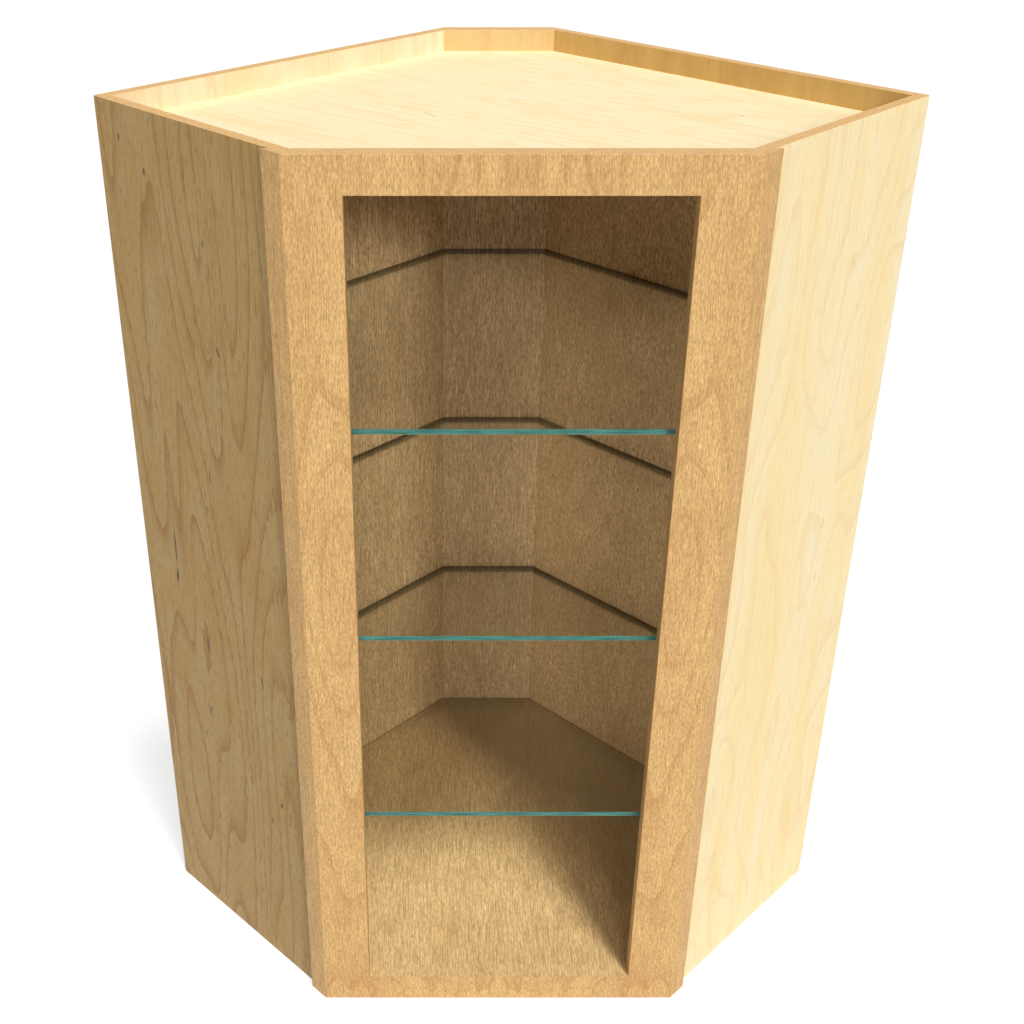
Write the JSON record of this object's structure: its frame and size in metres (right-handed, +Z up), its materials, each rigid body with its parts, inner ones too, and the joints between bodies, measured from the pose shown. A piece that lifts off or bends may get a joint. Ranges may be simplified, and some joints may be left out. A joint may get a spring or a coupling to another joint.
{
  "type": "diagonal corner wall cabinet",
  "caption": "Open diagonal corner wall cabinet with a maple face frame, plywood box, clipped back corner and clear glass shelves on pins.",
  "frame": {"origin": "at the base, under the middle of the cabinet's overall outline", "axes": "-Y out of the open front, +Y towards the room's corner, +Z up; the two wall faces look along -X+Y and +X+Y"},
  "size_m": [0.8532, 0.5784, 1.0668],
  "materials": {
    "end_ply": "clear-coated pale plywood",
    "lining_ply": "clear-coated plywood, honey coloured",
    "deck_ply": "bare pale plywood",
    "floor_ply": "clear-coated plywood, honey coloured",
    "frame_maple": "satin clear coat on flecked hardwood",
    "shelf_glass": "clear float glass, polished green edges",
    "pin_nickel": "nickel plated",
    "clear_pad": "clear soft plastic",
    "dowel_beech": "bare beech",
    "screw_zinc": "yellow zinc plated"
  },
  "bodies": {
    "cabinet": {"left_side_panel": "end_ply", "right_side_panel": "end_ply", "left_back_panel": "lining_ply", "right_back_panel": "lining_ply", "corner_back_panel": "lining_ply", "top_deck": "deck_ply", "bottom_deck": "floor_ply", "left_stile": "frame_maple", "right_stile": "frame_maple", "top_rail": "frame_maple", "bottom_rail": "frame_maple", "upper_shelf_pins": "pin_nickel", "middle_shelf_pins": "pin_nickel", "lower_shelf_pins": "pin_nickel", "upper_shelf_pads": "clear_pad", "middle_shelf_pads": "clear_pad", "lower_shelf_pads": "clear_pad", "top_rail_dowels": "dowel_beech", "bottom_rail_dowels": "dowel_beech", "top_deck_dowels": "dowel_beech", "bottom_deck_dowels": "dowel_beech", "left_back_screws": "screw_zinc", "right_back_screws": "screw_zinc", "corner_panel_screws": "screw_zinc"},
    "upper_shelf": {"upper_glass_shelf": "shelf_glass"},
    "middle_shelf": {"middle_glass_shelf": "shelf_glass"},
    "lower_shelf": {"lower_glass_shelf": "shelf_glass"}
  },
  "joints": [
    {"name": "upper_shelf_lift", "type": "slide", "parent": "cabinet", "child": "upper_shelf", "axis": [0, 0, 1], "range_m": [0, 0.2]},
    {"name": "middle_shelf_lift", "type": "slide", "parent": "cabinet", "child": "middle_shelf", "axis": [0, 0, 1], "range_m": [0, 0.2]},
    {"name": "lower_shelf_lift", "type": "slide", "parent": "cabinet", "child": "lower_shelf", "axis": [0, 0, 1], "range_m": [0, 0.2]}
  ]
}
